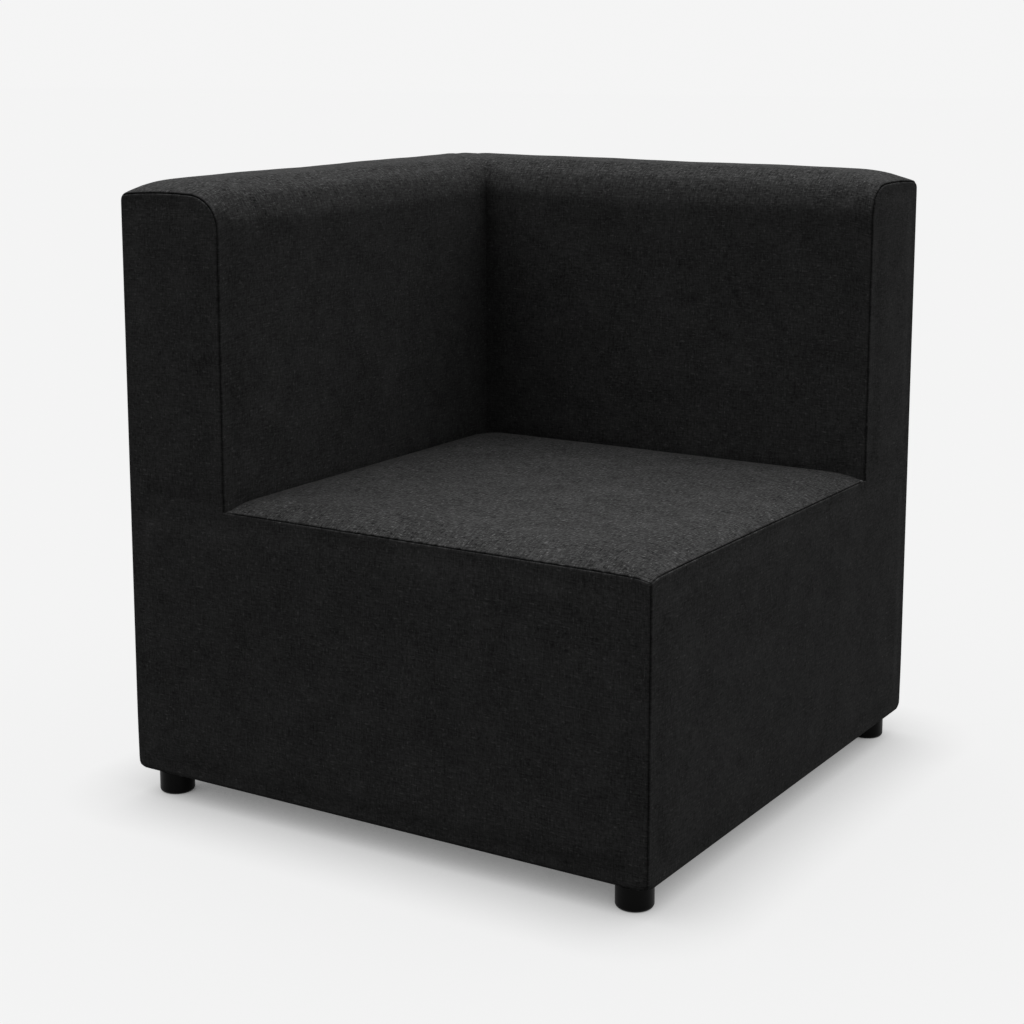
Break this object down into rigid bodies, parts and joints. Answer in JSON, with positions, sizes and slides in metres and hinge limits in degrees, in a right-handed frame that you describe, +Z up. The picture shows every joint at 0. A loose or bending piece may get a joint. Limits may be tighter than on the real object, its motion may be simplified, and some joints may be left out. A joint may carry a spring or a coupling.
{
  "type": "corner sofa",
  "caption": "Upholstered corner unit of a modular sofa: a box seat with two upright walls that meet at the back corner, on round feet, open on the two other sides.",
  "frame": {"origin": "on the floor, under the middle of the footprint", "axes": "+Z up; the seat is open towards -Y (front) and +X (right); the walls stand along -X and +Y"},
  "size_m": [0.8, 0.8, 0.8514],
  "materials": {
    "upholstery": "charcoal flat woven, matt",
    "foot_plastic": "satin black, moulded",
    "nonwoven": "black spunbonded sheet",
    "plywood": "raw birch plywood",
    "hardboard": "raw hardboard",
    "firm_foam": "open-cell foam",
    "soft_foam": "open-cell foam",
    "felt": "needled felt",
    "webbing": "woven elastic strap",
    "spring_steel": "oil-hardened wire",
    "zinc_steel": "zinc plated"
  },
  "bodies": {
    "root": {"back_corner_post": "plywood", "back_wall_cover": "upholstery", "back_wall_end_pad": "soft_foam", "back_wall_end_rib": "plywood", "back_wall_inner_foam": "soft_foam", "back_wall_middle_rib": "plywood", "back_wall_outside_board": "hardboard", "back_wall_outside_pad": "soft_foam", "back_wall_top_board": "plywood", "back_wall_top_foam": "soft_foam", "back_wall_webbing": "webbing", "base_board_back": "plywood", "base_board_front": "plywood", "base_board_left": "plywood", "base_board_right": "plywood", "base_cross_rail": "plywood", "base_pad_front": "soft_foam", "base_pad_right": "soft_foam", "dust_cover": "nonwoven", "foot_back_left": "foot_plastic", "foot_back_right": "foot_plastic", "foot_block_back_left": "plywood", "foot_block_back_right": "plywood", "foot_block_front_left": "plywood", "foot_block_front_right": "plywood", "foot_front_left": "foot_plastic", "foot_front_right": "foot_plastic", "foot_studs": "zinc_steel", "foot_t_nuts": "zinc_steel", "frame_screws": "zinc_steel", "front_panel_cover": "upholstery", "inner_corner_post": "plywood", "left_wall_cover": "upholstery", "left_wall_end_pad": "soft_foam", "left_wall_end_rib": "plywood", "left_wall_inner_foam": "soft_foam", "left_wall_middle_rib": "plywood", "left_wall_outside_board": "hardboard", "left_wall_outside_pad": "soft_foam", "left_wall_top_board": "plywood", "left_wall_top_foam": "soft_foam", "left_wall_webbing": "webbing", "right_panel_cover": "upholstery", "seat_cover": "upholstery", "seat_foam_core": "firm_foam", "seat_foam_topper": "soft_foam", "seat_insulator": "felt", "seat_rail_back": "plywood", "seat_rail_left": "plywood", "seat_spring_1": "spring_steel", "seat_spring_2": "spring_steel", "seat_spring_3": "spring_steel", "seat_spring_4": "spring_steel", "seat_spring_5": "spring_steel", "spring_clips": "spring_steel"}
  },
  "joints": []
}
